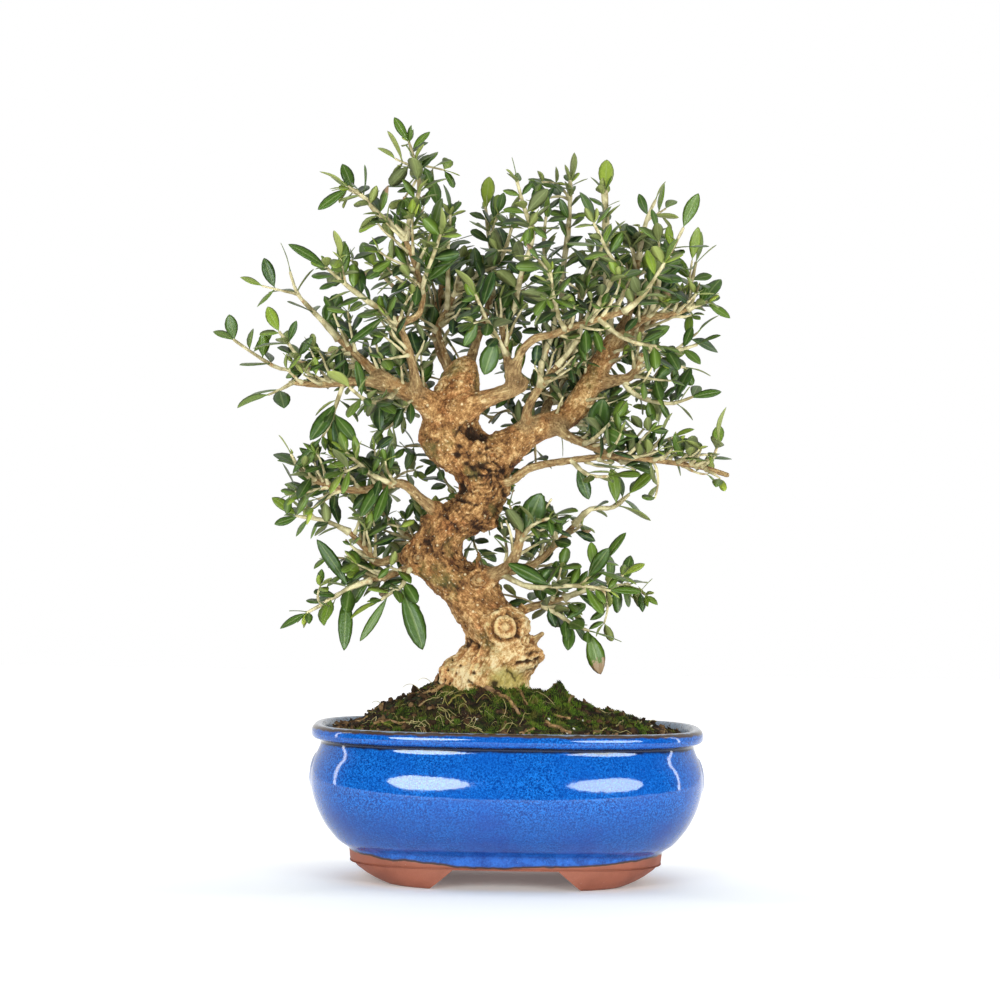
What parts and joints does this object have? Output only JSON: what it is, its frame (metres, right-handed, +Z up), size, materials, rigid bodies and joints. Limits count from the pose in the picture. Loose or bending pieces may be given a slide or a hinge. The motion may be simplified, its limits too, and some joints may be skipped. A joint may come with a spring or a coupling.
{
  "type": "olive bonsai",
  "caption": "Olive bonsai with a gnarled, leaning trunk and a wide crown of small leaves, planted in a glazed oval ceramic pot with cut feet.",
  "frame": {"origin": "middle of the bounding box, on the surface that the four feet stand on", "axes": "+Z up along the tree, +X to the right along the long side of the pot, -Y towards the front of the tree"},
  "size_m": [0.2722, 0.1734, 0.3959],
  "materials": {
    "glaze": "gloss",
    "screen": "matte",
    "soil": "matte",
    "bark": "matte",
    "foliage": "satin"
  },
  "bodies": {
    "root": {"branch_back_left": "foliage", "branch_back_left_high": "foliage", "branch_back_left_low": "foliage", "branch_back_low": "foliage", "branch_back_low_left": "foliage", "branch_back_low_right": "foliage", "branch_back_middle": "foliage", "branch_crown_back": "foliage", "branch_crown_back_left": "foliage", "branch_crown_back_low": "foliage", "branch_crown_front": "foliage", "branch_crown_inner": "foliage", "branch_crown_middle": "foliage", "branch_crown_middle_left": "foliage", "branch_crown_right": "foliage", "branch_crown_right_back": "foliage", "branch_crown_right_brown": "foliage", "branch_crown_right_top": "foliage", "branch_crown_tip": "foliage", "branch_far_left": "foliage", "branch_front_right_high": "foliage", "branch_left_cluster": "foliage", "branch_left_front": "foliage", "branch_left_hanging": "foliage", "branch_left_stub": "foliage", "branch_left_up": "foliage", "branch_low_left": "foliage", "branch_low_left_drop": "foliage", "branch_low_left_front": "foliage", "branch_low_left_hanging": "foliage", "branch_low_left_upper": "foliage", "branch_low_right": "foliage", "branch_low_right_back": "foliage", "branch_low_right_front": "foliage", "branch_low_right_hanging": "foliage", "branch_low_right_stump": "foliage", "branch_right_back": "foliage", "branch_right_back_low": "foliage", "branch_right_back_mid": "foliage", "branch_right_back_top": "foliage", "branch_right_back_under": "foliage", "branch_right_elbow": "foliage", "branch_right_front": "foliage", "branch_right_low": "foliage", "branch_right_low_tip": "foliage", "branch_right_low_under": "foliage", "branch_right_middle": "foliage", "branch_right_pale_low": "foliage", "branch_right_pale_tip": "foliage", "branch_right_pale_up": "foliage", "branch_right_shoulder": "foliage", "branch_right_shoulder_up": "foliage", "branch_upper_left": "foliage", "branch_upper_left_arm": "foliage", "branch_upper_left_front": "foliage", "drain_screen_left": "screen", "drain_screen_right": "screen", "pot": "glaze", "soil": "soil", "trunk": "bark"}
  },
  "joints": []
}
